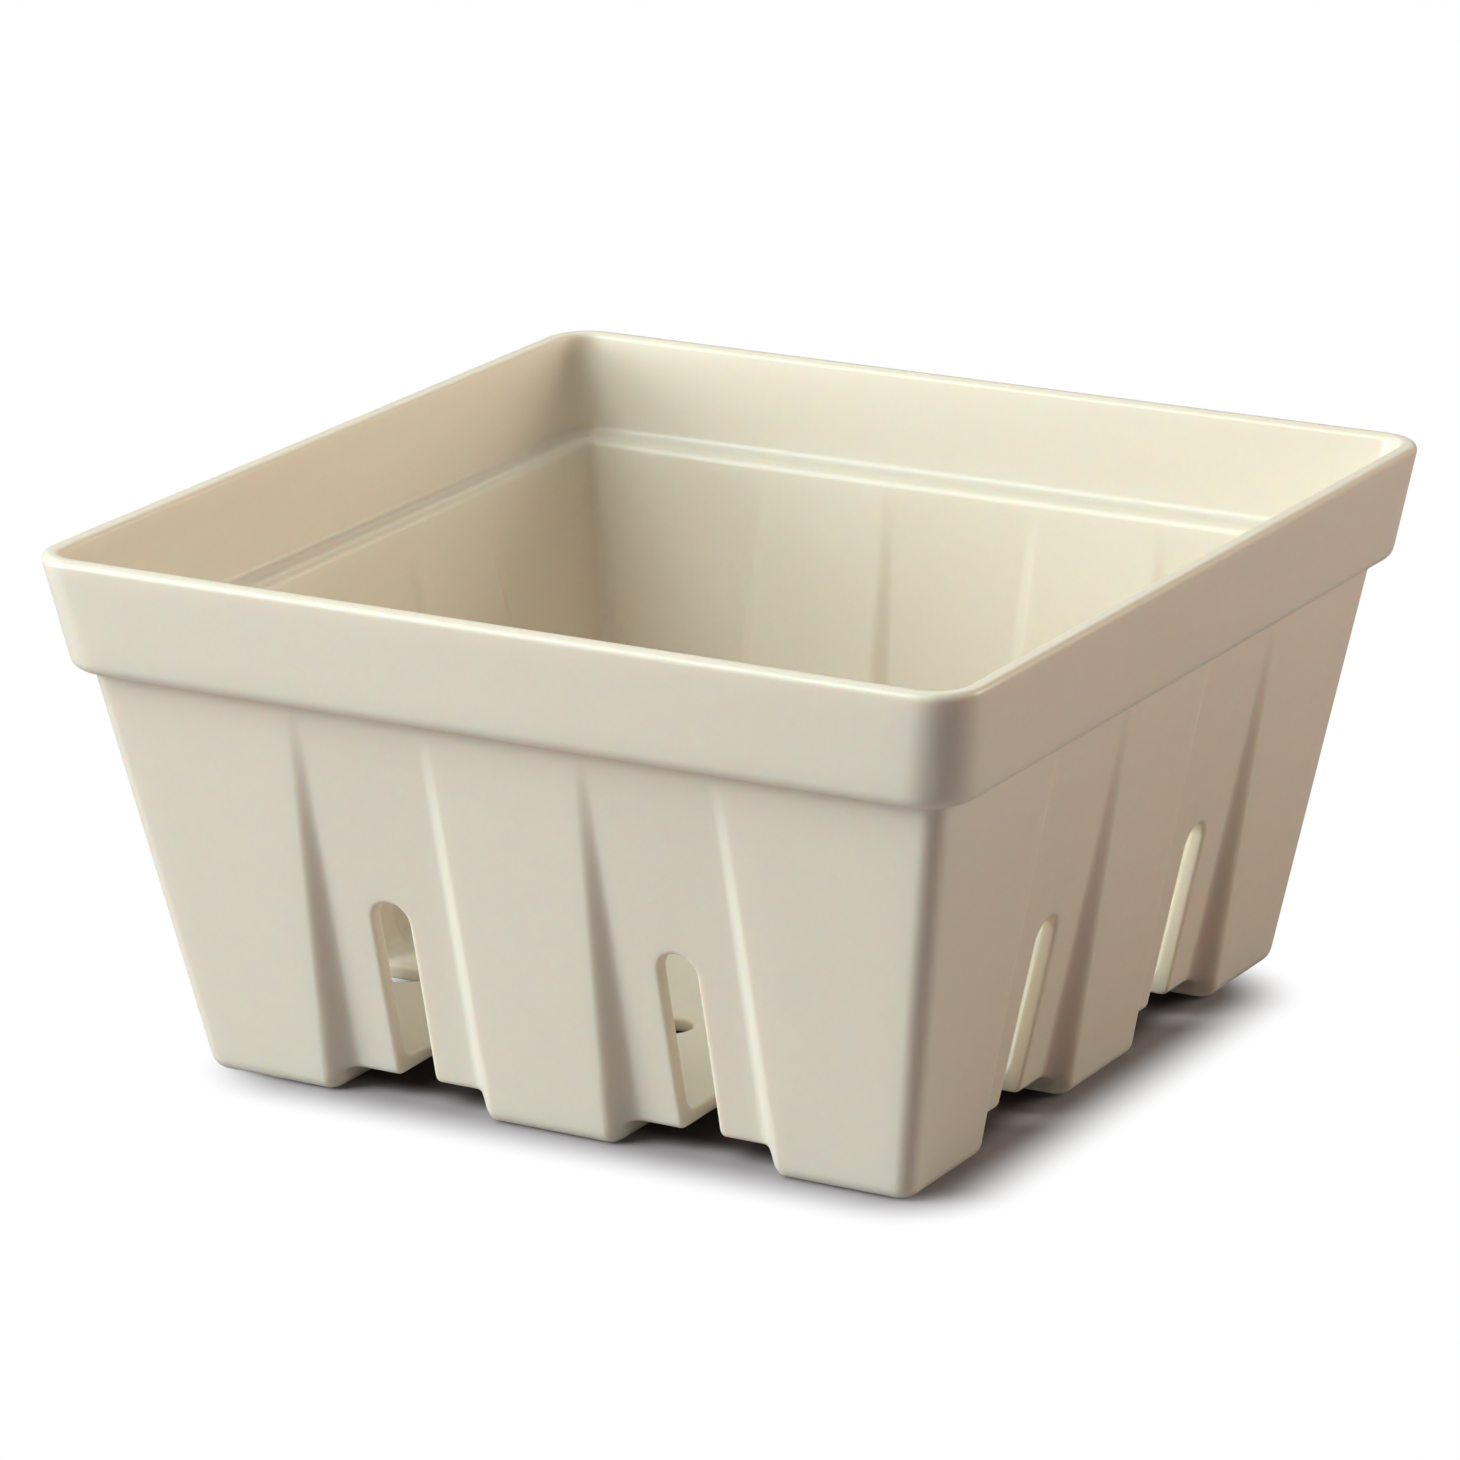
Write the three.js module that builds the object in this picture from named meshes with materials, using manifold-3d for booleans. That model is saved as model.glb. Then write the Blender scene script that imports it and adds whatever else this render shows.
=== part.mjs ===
// A square berry colander, moulded in one piece: a tapered basket with a stepped band round its rim,
// two flutes in every wall that fade out under the band, a drain slot up the middle of every flute
// and feet between the flutes. Millimetres, +Z up. The origin is the middle of the footprint, on the
// surface that the colander stands on.

import * as THREE from "three";
import { ParametricGeometry } from "three/addons/geometries/ParametricGeometry.js";
import { mergeVertices } from "three/addons/utils/BufferGeometryUtils.js";
import Module from "manifold-3d";

const wasm = await Module();
wasm.setup();

// Basket
const RIM_WIDTH = 140; // outside, where the band's faces would meet the top of the lip
const HEIGHT = 74.2; // feet to rim
const WALL = 2.35; // level thickness of the walls below the band
const WALL_DRAFT = 10.08; // degrees that a wall leans out
const WALL_CORNER_FOOT = 2.6; // plan radius of the outside upright corners at the feet
const WALL_CORNER_TOP = 3.2; // and under the band
const INNER_CORNER = 1.4; // plan radius of the inside upright corners
const FOOT_FILLET = 2; // round from the outside wall to the underside of the feet

// Band round the rim
const BAND_HEIGHT = 15.4;
const BAND_STEP = 3.2; // how far the band stands out from the wall below
const BAND_DRAFT = 8.9; // degrees
const BAND_WALL = 2.6; // level thickness of the band
const BAND_CORNER = 7; // plan radius of the band's outside corners
const BAND_EDGE = 0.9; // round on the band's lower edge
const BAND_ROOT = 1.2; // fillet between the wall and the band's underside
const SHELF_RISE = 1; // height of the inside shelf over the band's underside
const SHELF_FILLET = 1.6; // fillet between the shelf and the band
const SHELF_EDGE = 1.2; // round between the shelf and the wall below

// Floor and feet
const FOOT_HEIGHT = 3.2; // surface to the underside of the floor
const FLOOR = 2.2; // thickness of the floor
const FLOOR_FILLET = 2.5; // inside, from floor to wall
const FOOT_EDGE = 2; // round along the sides of the feet
const CHANNEL_FILLET = 0.8; // fillet where a channel's side meets the floor's underside
const FOOT_RIM = 3.8; // width of the rim that is left round each cored foot
const CORE_CORNER = 1.5; // plan radius of the hollows in the feet

// Flutes
const FLUTE_SPACING = 43.7; // between the middles of a wall's two flutes
const FLUTE_WIDTH_FOOT = 22.4; // between the middles of a flute's sides, at the feet
const FLUTE_WIDTH_TOP = 20; // and where it fades out
const FLUTE_DEPTH = 3.2; // at the feet
const FLUTE_SIDE = 3.5; // width of a flute's sloping side
const FLUTE_MARGIN = 1.4; // plain wall between a flute's upper end and the band

// Drain openings
const SLOT_WIDTH = 5.65;
const SLOT_TOP = 29.8; // height of the slot's round end
const SLOT_FLOOR_RUN = 10; // how far a slot runs on into the floor
const DRAIN_HOLE = 6.4; // diameter of the round holes in the floor
const DRAIN_RADIUS = 22.4; // from the middle of the floor to each hole

// Fineness
const FILLET_STEPS = 3;
const CORNER_STEPS = 4;
const SIDE_STEPS = 4; // steps across a flute's sloping side
const CURVE_STEPS = 4; // steps in each arc of a cut
const HOLE_STEPS = 20;
const CUT = 5; // how far a cutting tool runs past what it cuts
const WALLS = 4;

const PLASTIC = new THREE.MeshStandardMaterial({ color: 0xe3dac6, roughness: 0.36, metalness: 0 });

// Levels and half-widths that follow from the sizes above
const slope = (degrees) => Math.tan(THREE.MathUtils.degToRad(degrees));
const bandFoot = HEIGHT - BAND_HEIGHT;
const shelf = bandFoot + SHELF_RISE;
const floorTop = FOOT_HEIGHT + FLOOR;
const fluteTop = bandFoot - FLUTE_MARGIN;
const bandHalf = (z) => RIM_WIDTH / 2 - (HEIGHT - z) * slope(BAND_DRAFT);
const bandInner = (z) => bandHalf(z) - BAND_WALL;
const wallHalf = (z) => bandHalf(bandFoot) - BAND_STEP - (bandFoot - z) * slope(WALL_DRAFT);
const wallInner = (z) => wallHalf(z) - WALL;
// The lip is fully round: its two rounds meet on top, and each is half as wide as the band is thick.
const lipRound = (BAND_WALL * Math.cos(THREE.MathUtils.degToRad(BAND_DRAFT))) / 2;
const lipCorner = BAND_CORNER - BAND_WALL;
const fluteFade = (z) => Math.max(0, 1 - z / fluteTop);
const fluteDepth = (z) => FLUTE_DEPTH * fluteFade(z);
const fluteHalf = (z) => THREE.MathUtils.lerp(FLUTE_WIDTH_TOP, FLUTE_WIDTH_FOOT, fluteFade(z)) / 2;

/** How much wider a flute's ridge is inside, half on each side, so that its sides keep the wall. */
function ridgeSpread(z) {
  const depth = fluteDepth(z);
  return (WALL * depth) / (FLUTE_SIDE + Math.hypot(FLUTE_SIDE, depth));
}

/** Section of the wall from the middle of the underside, over the rim, to the middle of the floor. */
const profile = [
  { half: 0, z: 0 },
  { half: wallHalf(0), z: 0, fillet: FOOT_FILLET, corner: WALL_CORNER_FOOT },
  { half: wallHalf(fluteTop), z: fluteTop, corner: WALL_CORNER_TOP },
  { half: wallHalf(bandFoot), z: bandFoot, fillet: BAND_ROOT, corner: WALL_CORNER_TOP },
  { half: bandHalf(bandFoot), z: bandFoot, fillet: BAND_EDGE, corner: BAND_CORNER },
  { half: bandHalf(HEIGHT), z: HEIGHT, fillet: lipRound, corner: BAND_CORNER },
  { half: bandInner(HEIGHT), z: HEIGHT, fillet: lipRound, corner: lipCorner },
  { half: bandInner(shelf), z: shelf, fillet: SHELF_FILLET, corner: lipCorner },
  { half: wallInner(shelf), z: shelf, fillet: SHELF_EDGE, corner: INNER_CORNER, inside: true },
  { half: wallInner(fluteTop), z: fluteTop, corner: INNER_CORNER, inside: true },
  { half: wallInner(floorTop), z: floorTop, fillet: FLOOR_FILLET, corner: INNER_CORNER, inside: true },
  { half: 0, z: floorTop },
];

/** Replaces a profile corner by an arc of its fillet radius, tangent to the lines on both sides. */
function filletRows(before, point, after) {
  const { half, z, fillet = 0, corner = 0, inside = false } = point;
  if (fillet === 0) return [{ half, z, corner, inside }];
  const tip = new THREE.Vector2(half, z);
  const back = new THREE.Vector2(before.half, before.z).sub(tip).normalize();
  const on = new THREE.Vector2(after.half, after.z).sub(tip).normalize();
  const halfAngle = Math.acos(back.dot(on)) / 2;
  const middle = back.clone().add(on).normalize();
  const centre = tip.clone().addScaledVector(middle, fillet / Math.sin(halfAngle));
  const run = fillet / Math.tan(halfAngle);
  const start = tip.clone().addScaledVector(back, run).sub(centre).angle();
  const end = tip.clone().addScaledVector(on, run).sub(centre).angle();
  const turn = THREE.MathUtils.euclideanModulo(end - start + Math.PI, 2 * Math.PI) - Math.PI;
  return Array.from({ length: FILLET_STEPS + 1 }, (_, step) => {
    const angle = start + (turn * step) / FILLET_STEPS;
    const arcHalf = centre.x + fillet * Math.cos(angle);
    const arcZ = centre.y + fillet * Math.sin(angle);
    return { half: arcHalf, z: arcZ, corner: Math.max(0, corner + arcHalf - half), inside };
  });
}

/** One wall's outline in plan at a row, from its left corner to the end of its right corner's arc. */
function wallOutline({ half, z, corner, inside }) {
  const outline = [];
  const sideMiddle = fluteHalf(z) + (inside ? ridgeSpread(z) : 0);
  for (const flute of [-1, 1]) {
    for (const side of [-1, 1]) {
      for (let step = 0; step <= SIDE_STEPS; step++) {
        const share = step / SIDE_STEPS;
        const across = (flute * FLUTE_SPACING) / 2 + side * sideMiddle + (share - 0.5) * FLUTE_SIDE;
        const rise = (1 - Math.cos(Math.PI * share)) / 2;
        const sunk = fluteDepth(z) * (side < 0 ? rise : 1 - rise);
        outline.push(new THREE.Vector2(across, sunk - half));
      }
    }
  }
  for (let step = 0; step <= CORNER_STEPS; step++) {
    const angle = -Math.PI / 2 + ((Math.PI / 2) * step) / CORNER_STEPS;
    const arc = new THREE.Vector2(Math.cos(angle), Math.sin(angle)).multiplyScalar(corner);
    outline.push(arc.add(new THREE.Vector2(half - corner, corner - half)));
  }
  return outline;
}

/** The whole outline at a row: one wall turned round the four sides, or one point on the axis. */
function rowOutline(row) {
  const wall = wallOutline(row);
  return Array.from({ length: WALLS }, (_, turn) =>
    wall.map((point) => {
      if (row.half === 0) return new THREE.Vector3(0, 0, row.z);
      const turned = point.clone().rotateAround(new THREE.Vector2(), (turn * Math.PI) / 2);
      return new THREE.Vector3(turned.x, turned.y, row.z);
    }),
  ).flat();
}

/** Closed solid from a three.js geometry: shared points merged, collapsed triangles at poles left out. */
function solid(geometry) {
  const bare = geometry.clone();
  bare.deleteAttribute("normal");
  bare.deleteAttribute("uv");
  const merged = mergeVertices(bare);
  const index = merged.index.array;
  const triVerts = [];
  for (let i = 0; i < index.length; i += 3) {
    const [a, b, c] = index.slice(i, i + 3);
    if (a !== b && b !== c && c !== a) triVerts.push(a, b, c);
  }
  const vertProperties = Float32Array.from(merged.attributes.position.array);
  return new wasm.Manifold(
    new wasm.Mesh({ numProp: 3, vertProperties, triVerts: Uint32Array.from(triVerts) }),
  );
}

/** The walls, band, lip and floor as one lofted surface, closed at the axis above and below the floor. */
function basketBody() {
  const rows = profile.flatMap((point, i) => filletRows(profile[i - 1], point, profile[i + 1]));
  const outlines = rows.map(rowOutline);
  const around = outlines[0].length;
  const along = outlines.length - 1;
  const surface = (u, v, target) =>
    target.copy(outlines[Math.round(v * along)][Math.round(u * around) % around]);
  return solid(new ParametricGeometry(surface, around, along));
}

/** Upright prism of a shape in the X-Y plane between two heights. */
function prismAlongZ(shape, from, to) {
  const settings = { depth: to - from, bevelEnabled: false, curveSegments: CURVE_STEPS };
  return new THREE.ExtrudeGeometry(shape, settings).translate(0, 0, from);
}

/** Prism of a shape in the X-Z plane that runs along Y from one place to another. */
function prismAlongY(shape, from, to) {
  return prismAlongZ(shape, -to, -from).rotateX(Math.PI / 2);
}

/** Channel that carries a flute on under the floor: the feet on both sides of it have rounded edges. */
function channelShape() {
  const edge = FLUTE_WIDTH_FOOT / 2 + FOOT_EDGE;
  const fillet = FLUTE_WIDTH_FOOT / 2 - CHANNEL_FILLET;
  const filletZ = FOOT_HEIGHT - CHANNEL_FILLET;
  const quarter = Math.PI / 2;
  const shape = new THREE.Shape();
  shape.moveTo(edge, -CUT);
  shape.absarc(edge, FOOT_EDGE, FOOT_EDGE, -quarter, -2 * quarter, true);
  shape.absarc(fillet, filletZ, CHANNEL_FILLET, 0, quarter, false);
  shape.absarc(-fillet, filletZ, CHANNEL_FILLET, quarter, 2 * quarter, false);
  shape.absarc(-edge, FOOT_EDGE, FOOT_EDGE, 0, -quarter, true);
  shape.lineTo(-edge, -CUT);
  return shape;
}

/** Slot with parallel sides and a half-round end at the top, open below. */
function slotShape(top, bottom) {
  const half = SLOT_WIDTH / 2;
  const shape = new THREE.Shape();
  shape.moveTo(-half, bottom);
  shape.lineTo(half, bottom);
  shape.absarc(0, top - half, half, 0, Math.PI, false);
  return shape;
}

/** Rectangle in plan with rounded corners, from its low and high sides. */
function roundedRectangle(left, right, front, back, radius) {
  const shape = new THREE.Shape();
  shape.absarc(right - radius, front + radius, radius, -Math.PI / 2, 0, false);
  shape.absarc(right - radius, back - radius, radius, 0, Math.PI / 2, false);
  shape.absarc(left + radius, back - radius, radius, Math.PI / 2, Math.PI, false);
  shape.absarc(left + radius, front + radius, radius, Math.PI, Math.PI * 1.5, false);
  return shape;
}

/** What is cut from the front wall and the floor behind it; the other walls repeat it, turned. */
function frontCutters() {
  const fluteFace = wallInner(floorTop) - fluteDepth(floorTop);
  const reach = RIM_WIDTH / 2;
  const slotEnd = fluteFace - SLOT_FLOOR_RUN;
  const cutters = [];
  for (const flute of [-1, 1]) {
    const middle = (flute * FLUTE_SPACING) / 2;
    const wallSlot = prismAlongY(slotShape(SLOT_TOP, -CUT), -reach, -fluteFace);
    const floorSlot = prismAlongZ(slotShape(-slotEnd, -reach), -CUT, floorTop + CUT);
    cutters.push(wallSlot.translate(middle, 0, 0), floorSlot.translate(middle, 0, 0));
  }
  const hole = new THREE.CylinderGeometry(DRAIN_HOLE / 2, DRAIN_HOLE / 2, 2 * (floorTop + CUT), HOLE_STEPS);
  cutters.push(hole.rotateX(Math.PI / 2).translate(0, -DRAIN_RADIUS, 0));
  return cutters;
}

/** Hollows that core the feet from below, in a grid of corner, middle-of-wall and centre feet. */
function footCores() {
  const footInner = (FLUTE_SPACING - FLUTE_WIDTH_FOOT) / 2 - FOOT_RIM;
  const cornerInner = (FLUTE_SPACING + FLUTE_WIDTH_FOOT) / 2 + FOOT_RIM;
  const cornerOuter = wallHalf(0) - FOOT_RIM - FOOT_FILLET / 2;
  const spans = [
    [-cornerOuter, -cornerInner],
    [-footInner, footInner],
    [cornerInner, cornerOuter],
  ];
  return spans.flatMap(([left, right]) =>
    spans.map(([front, back]) => {
      const outline = roundedRectangle(left, right, front, back, CORE_CORNER);
      return prismAlongZ(outline, -CUT, FOOT_HEIGHT);
    }),
  );
}

/** Two channels one way under the floor, through from wall to wall. */
function channelPair() {
  const reach = RIM_WIDTH / 2;
  return [-1, 1].map((flute) =>
    prismAlongY(channelShape(), -reach, reach).translate((flute * FLUTE_SPACING) / 2, 0, 0),
  );
}

/** The finished basket: the lofted body less its slots, drain holes, channels and foot cores. */
function basketGeometry() {
  const cutters = footCores();
  for (let turn = 0; turn < WALLS; turn++) {
    const quarter = (turn * Math.PI) / 2;
    cutters.push(...frontCutters().map((cutter) => cutter.rotateZ(quarter)));
  }
  for (const quarter of [0, Math.PI / 2]) {
    cutters.push(...channelPair().map((cutter) => cutter.rotateZ(quarter)));
  }
  const basket = cutters.reduce((body, cutter) => body.subtract(solid(cutter)), basketBody());
  const { vertProperties, triVerts } = basket.getMesh();
  const geometry = new THREE.BufferGeometry();
  geometry.setAttribute("position", new THREE.BufferAttribute(vertProperties, 3));
  geometry.setIndex(new THREE.BufferAttribute(triVerts, 1));
  geometry.computeVertexNormals();
  return geometry;
}

const colander = new THREE.Group();
const basket = new THREE.Mesh(basketGeometry(), PLASTIC);
basket.name = "colander_basket";
colander.add(basket);

export default colander;
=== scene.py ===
# %% [markdown]
# # A moulded berry colander
#
# The object is a square basket for rinsing berries, moulded in one piece from cream plastic. It has a
# stepped band round its rim, two shallow flutes in every wall, a drain slot up the middle of each flute
# that runs on into the floor, four round drain holes and low feet. This lesson loads the CAD part as a
# fixed frame, builds the same basket again as smooth surfaces with rounded edges, gives it its plastic,
# and lights it as a studio photograph.

import bmesh
import bpy
import numpy as np
from mathutils import Matrix, Vector


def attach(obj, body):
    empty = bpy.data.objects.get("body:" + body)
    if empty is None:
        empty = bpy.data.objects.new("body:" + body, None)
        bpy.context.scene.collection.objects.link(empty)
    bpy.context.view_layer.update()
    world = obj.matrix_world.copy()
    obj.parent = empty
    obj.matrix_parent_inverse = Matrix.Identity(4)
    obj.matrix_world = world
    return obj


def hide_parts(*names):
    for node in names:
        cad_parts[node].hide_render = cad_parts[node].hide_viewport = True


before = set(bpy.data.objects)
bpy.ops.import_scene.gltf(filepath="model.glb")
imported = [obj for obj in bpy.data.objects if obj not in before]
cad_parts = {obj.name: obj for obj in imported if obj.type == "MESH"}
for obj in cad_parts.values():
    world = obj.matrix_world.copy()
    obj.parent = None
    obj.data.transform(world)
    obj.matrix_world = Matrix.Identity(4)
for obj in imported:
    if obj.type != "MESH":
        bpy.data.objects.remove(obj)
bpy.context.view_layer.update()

# %% [markdown]
# ## The camera
#
# The camera comes first, because every later choice is judged through it. Its place was worked out from
# the straight edges of the basket in the photograph: it looks at one corner from a little above, from far
# away through a long lens, so that upright lines stay almost parallel. A camera could be placed by eye,
# but then no edge would lie where it should.

# %% Camera
MM = 0.001
IMAGE_WIDTH = 1460  # pixels of the square picture
CAMERA_AZIMUTH = 30.09  # degrees from the front wall towards the right-hand wall
CAMERA_ELEVATION = 17.41  # degrees above the table
CAMERA_ROLL = -0.757  # degrees
CAMERA_DISTANCE = 939.1 * MM
CAMERA_TARGET_RIGHT = -2.5 * MM  # of the basket's axis, across the picture
CAMERA_TARGET_HEIGHT = 40.95 * MM
CAMERA_FOCAL_PIXELS = 6884
SENSOR_WIDTH = 36.0  # millimetres, as Blender gives it


def add_camera():
    """Camera on a sphere round the target: azimuth and elevation place it, roll turns it about its view."""
    azimuth, elevation, roll = np.radians([CAMERA_AZIMUTH, CAMERA_ELEVATION, CAMERA_ROLL])
    level = Vector((np.sin(azimuth), -np.cos(azimuth), 0))
    back = level * np.cos(elevation) + Vector((0, 0, np.sin(elevation)))
    right = Vector((np.cos(azimuth), np.sin(azimuth), 0))
    target = right * CAMERA_TARGET_RIGHT + Vector((0, 0, CAMERA_TARGET_HEIGHT))
    data = bpy.data.cameras.new("photo_camera")
    data.sensor_width = SENSOR_WIDTH
    data.lens = CAMERA_FOCAL_PIXELS / IMAGE_WIDTH * SENSOR_WIDTH
    camera = bpy.data.objects.new("photo_camera", data)
    bpy.context.scene.collection.objects.link(camera)
    turn = Matrix((right, back.cross(right), back)).transposed()
    turn = turn @ Matrix.Rotation(roll, 3, "Z")
    camera.matrix_world = Matrix.Translation(target + back * CAMERA_DISTANCE) @ turn.to_4x4()
    return camera


camera = add_camera()
bpy.context.scene.camera = camera
print("camera at", [round(value, 3) for value in camera.location], "lens", round(camera.data.lens, 1), "mm")

# %% [markdown]
# ## The sizes of the basket
#
# The sizes are in millimetres, and most are the CAD part's own, so the smooth basket fills the same
# space. A few forms are drawn closer to the photograph than the CAD part has them, each by less than a
# millimetre: the band reaches lower and turns under with a large round, the lip keeps a narrow flat top
# between two rounds, the shelf has a rounder edge, and the flutes' sides widen as the flutes deepen. A
# moulding has no sharp edge anywhere, and the thin highlights along its rounds are what makes plastic
# look moulded.

# %% Sizes
RIM_WIDTH = 140.0
HEIGHT = 74.2
WALL = 2.35
WALL_DRAFT = 10.08  # degrees
WALL_CORNER_FOOT = 2.6
WALL_CORNER_TOP = 3.2
INNER_CORNER = 1.4
FOOT_FILLET = 2.0
BAND_HEIGHT = 16.2
BAND_STEP = 3.2
BAND_DRAFT = 8.9  # degrees
BAND_WALL = 2.6
BAND_CORNER = 7.0
BAND_ROOT = 1.2
SHELF_RISE = 1.8
SHELF_FILLET = 1.6
FOOT_HEIGHT = 3.2
FLOOR = 2.2
FLOOR_FILLET = 2.5
FOOT_EDGE = 2.0
CHANNEL_FILLET = 0.8
FOOT_RIM = 3.8
CORE_CORNER = 1.5
FLUTE_SPACING = 43.7
FLUTE_WIDTH_FOOT = 22.4
FLUTE_WIDTH_TOP = 20.0
FLUTE_DEPTH = 3.2
FLUTE_MARGIN = 0.6
SLOT_WIDTH = 5.65
SLOT_TOP = 29.8
SLOT_FLOOR_RUN = 10.0
DRAIN_HOLE = 6.4
DRAIN_RADIUS = 22.4

FLUTE_SIDE_FOOT = 4.4  # width of a flute's sloping sides at the foot
FLUTE_SIDE_TOP = 2.2  # and where the flute ends
FLUTE_ROUND = 0.9  # round along the lower edge of a flute
BAND_EDGE = 2.3  # round along the lower edge of the band
LIP_ROUND = 0.95
SHELF_EDGE = 1.8
SLOT_ROUND = 0.6  # round on the rims of the slots and drain holes
CORE_ROUND = 0.5  # rounds inside the hollow feet
FLAT_MARGIN = 0.4  # strip of flat beside each round, which keeps the flat's shading true

BAND_FOOT = HEIGHT - BAND_HEIGHT
SHELF = BAND_FOOT + SHELF_RISE
FLOOR_TOP = FOOT_HEIGHT + FLOOR
FLUTE_TOP = BAND_FOOT - FLUTE_MARGIN
FLUTE_MIDDLE = FLUTE_SPACING / 2
SLOT_HALF = SLOT_WIDTH / 2
SLOT_CENTRE = SLOT_TOP - SLOT_HALF  # height of the middle of the slot's round end
print("flutes end at", FLUTE_TOP, "mm")

# %% [markdown]
# ## The wall as a formula
#
# Every wall is the same, and each half of a wall mirrors the other, so one eighth of the basket is
# enough. In that eighth a point has a place across the wall, a distance out from the basket's axis and a
# height. The wall leans out in a straight line. A flute sinks it by a depth that fades to nothing under
# the band. The flute's sides follow half a cosine wave, and are wider where the flute is deeper. Inside,
# the same flute stands out as a ridge, a little wider again, so that the wall keeps its thickness.


# %% Formulas of the wall
def slope(degrees):
    """Run of a face for each millimetre of height: the tangent of its lean in degrees."""
    return np.tan(np.radians(degrees))


def band_half(z):
    """Half the width of the band's outer faces: half the rim, less the run of their lean below it."""
    return RIM_WIDTH / 2 - (HEIGHT - z) * slope(BAND_DRAFT)


def wall_half(z):
    """Half the width of the walls' plain outer faces: a step in from the band's foot, leaning in below."""
    return band_half(BAND_FOOT) - BAND_STEP - (BAND_FOOT - z) * slope(WALL_DRAFT)


def wall_corner(z):
    """Plan radius of the outer upright corners: it grows evenly from the table to where the flutes end."""
    return WALL_CORNER_FOOT + (WALL_CORNER_TOP - WALL_CORNER_FOOT) * z / FLUTE_TOP


def flute_fade(z):
    """One at the table, falling evenly to nothing where the flutes end."""
    return np.maximum(0, 1 - z / FLUTE_TOP)


def flute_depth(z):
    """Depth of a flute at a height: its depth at the table times the fade."""
    return FLUTE_DEPTH * flute_fade(z)


def flute_side(z):
    """Width of a flute's sloping sides at a height: wider where the flute is deeper."""
    return FLUTE_SIDE_TOP + (FLUTE_SIDE_FOOT - FLUTE_SIDE_TOP) * flute_fade(z)


def flute_half(z, inside):
    """Half the width between the middles of a flute's sides; wider inside, to keep the wall's thickness."""
    half = (FLUTE_WIDTH_TOP + (FLUTE_WIDTH_FOOT - FLUTE_WIDTH_TOP) * flute_fade(z)) / 2
    depth = flute_depth(z)
    return half + inside * WALL * depth / (flute_side(z) + np.hypot(flute_side(z), depth))


def sunk(x, z, inside):
    """How far a flute sets the wall back: its depth, times half a cosine wave across each sloping side."""
    reach = flute_half(z, inside) + flute_side(z) / 2 - np.abs(x - FLUTE_MIDDLE)
    share = np.clip(reach / flute_side(z), 0, 1)
    return flute_depth(z) * (1 - np.cos(np.pi * share)) / 2


def wall_out(x, z, inside):
    """Distance out of the wall's outer face, or of its inner face, at a place across and a height."""
    return wall_half(z) - inside * WALL - sunk(x, z, inside)


wall_ends = [round(float(wall_half(z)), 2) for z in (0, BAND_FOOT)]
print("wall, mm out from the axis at the feet and at the band:", wall_ends)

# %% [markdown]
# ## Collecting the surfaces
#
# The basket is one skin, made of many small grids that share their edges. Each grid covers one eighth or
# one quarter of the basket, is turned and mirrored round the axis, and goes into one list. When all are
# in, points that fall on each other are merged, and the grids become a single closed skin.

# %% A list of grids
grids = []


def add_grid(x, out, z, mirrored=True, turns=4):
    """Adds a grid of across, out and height arrays, with its mirror image, turned to each wall."""
    x, out, z = np.broadcast_arrays(x, out, z)
    sides = (1, -1) if mirrored else (1,)
    for turn in range(turns):
        cosine, sine = round(np.cos(turn * np.pi / 2)), round(np.sin(turn * np.pi / 2))
        for side in sides:
            across, towards = side * x, -out
            turned_x = cosine * across - sine * towards
            turned_y = sine * across + cosine * towards
            grids.append(np.stack([turned_x, turned_y, z], axis=-1))


def blend(start, end, share):
    """The value that share of the way from start to end."""
    return start + (end - start) * share


def ease(share):
    """Smooth step from nothing to one, level at both ends: three times the square less twice the cube."""
    share = np.clip(share, 0, 1)
    return share * share * (3 - 2 * share)


print("smooth step at a quarter, a half and three quarters:", ease(np.array([0.25, 0.5, 0.75])))

# %% [markdown]
# ## Columns across the wall
#
# A grid needs columns that fall where the shape changes: the plain wall in the middle, a flute's sloping
# side, the flat beside the slot, the slot, the flat again, the other side, the plain wall and the corner.
# Round the slot's end the columns part and run round it like the rings of a target inside a square, so
# that the slot gets a true round end with no ragged steps.

# %% Columns
MIDDLE_STEPS = 6
EDGE_STEPS = 5  # steps in a foot's rounded edge, and in the fillet above it
RUN_OUT = 3  # steps from that fillet to the end of the flute's sloping side
SIDE_STEPS = 2 * EDGE_STEPS + RUN_OUT + 3  # columns across a flute's side, margin and two uprights included
FLAT_STEPS = 2
FAN_STEPS = 24  # steps in the half circle of a slot's end
OUTER_STEPS = 6
CORNER_STEPS = 6
SLOT_PATCH = 6.5  # half width of the square that the slot's rings fill
SLOT_EDGE = SLOT_HALF + SLOT_ROUND  # where the slot's rounded rim starts
LEAST_ANGLE = 1e-6  # radians, which keeps the tangent off nothing

fan_angles = np.linspace(0, np.pi, FAN_STEPS + 1)
inner_angles = np.clip(fan_angles, LEAST_ANGLE, np.pi - LEAST_ANGLE)
fan_x = np.clip(1 / np.tan(inner_angles), -1, 1) * SLOT_PATCH
fan_rise = np.clip(np.abs(np.tan(fan_angles)), 0, 1) * SLOT_PATCH
ring_offsets = np.array([SLOT_EDGE, SLOT_EDGE + FLAT_MARGIN, (SLOT_EDGE + SLOT_PATCH) / 2, SLOT_PATCH])
fan_rows = fan_rise[: FAN_STEPS // 4 + 1]  # heights over the slot's centre of the rows beside the rings
fan_columns = fan_x[FAN_STEPS // 4 : 3 * FAN_STEPS // 4 + 1][::-1]

side_share = np.linspace(0, 1, SIDE_STEPS + 1)
corner_angles = np.linspace(0, np.pi / 4, CORNER_STEPS + 1)


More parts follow.
